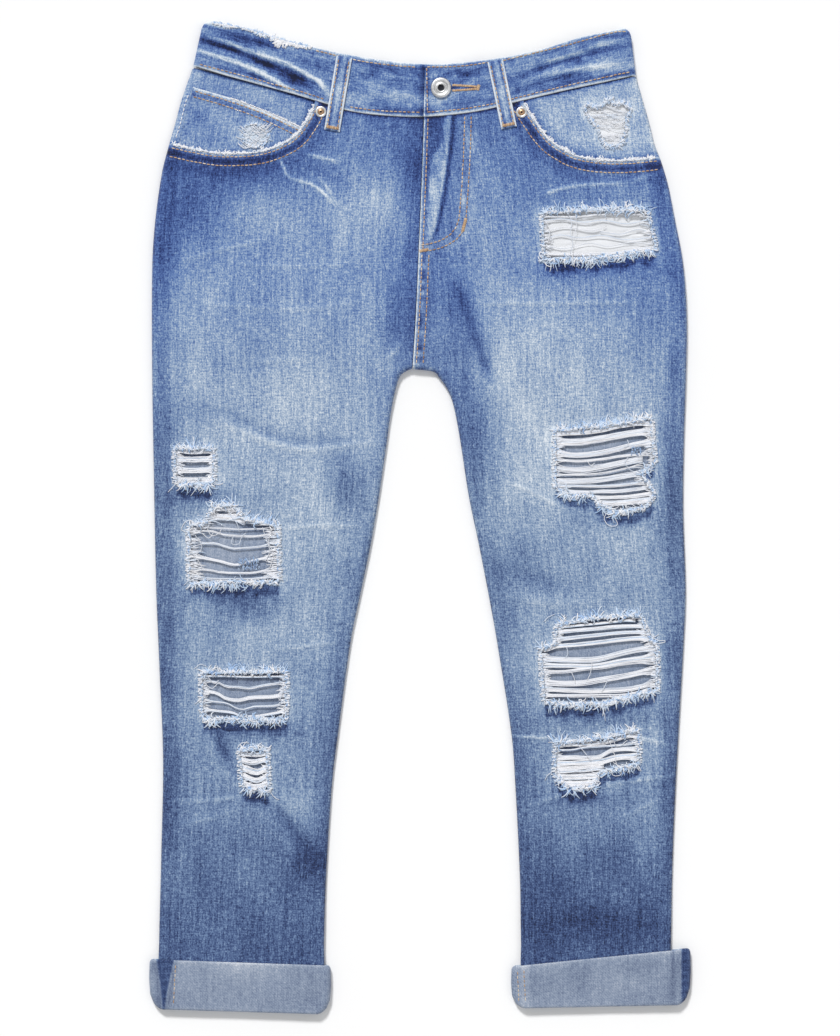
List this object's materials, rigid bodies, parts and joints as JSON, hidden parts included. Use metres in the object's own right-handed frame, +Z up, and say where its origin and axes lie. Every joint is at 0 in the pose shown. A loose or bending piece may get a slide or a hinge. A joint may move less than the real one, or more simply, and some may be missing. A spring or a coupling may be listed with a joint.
{
  "type": "ripped jeans",
  "caption": "Light-wash denim jeans laid flat on their back, with a zip fly closed by a waist button, ripped and frayed legs with loose white yarns, and rolled cuffs.",
  "frame": {"origin": "middle of the outline, on the surface that the jeans lie on", "axes": "+X across, towards the wearer's left; +Y along the legs, from the cuffs to the waist; +Z up, from the back to the front"},
  "size_m": [0.4472, 0.8192, 0.0108],
  "materials": {
    "denim": "washed and faded twill",
    "denim_inside": "wrong side of the twill",
    "cotton": "plain white weave",
    "metal": "satin, slightly worn"
  },
  "bodies": {
    "root": {"front_right": "denim", "front_left": "denim", "back_right": "denim", "back_left": "denim", "yoke_right": "denim", "yoke_left": "denim", "pocket_facing_right": "denim", "pocket_facing_left": "denim", "coin_pocket": "denim", "pocket_bag_right": "cotton", "pocket_bag_left": "cotton", "fly_facing": "denim_inside", "fly_shield": "denim_inside", "zip": "metal", "waistband": "denim", "belt_loop_front_right": "denim", "belt_loop_front_left": "denim", "belt_loop_back_right": "denim", "belt_loop_back_centre": "denim", "belt_loop_back_left": "denim", "back_pocket_right": "denim", "back_pocket_left": "denim", "cuff_right": "denim_inside", "cuff_left": "denim_inside", "button": "metal", "rivet_right": "metal", "rivet_left": "metal"}
  },
  "joints": []
}
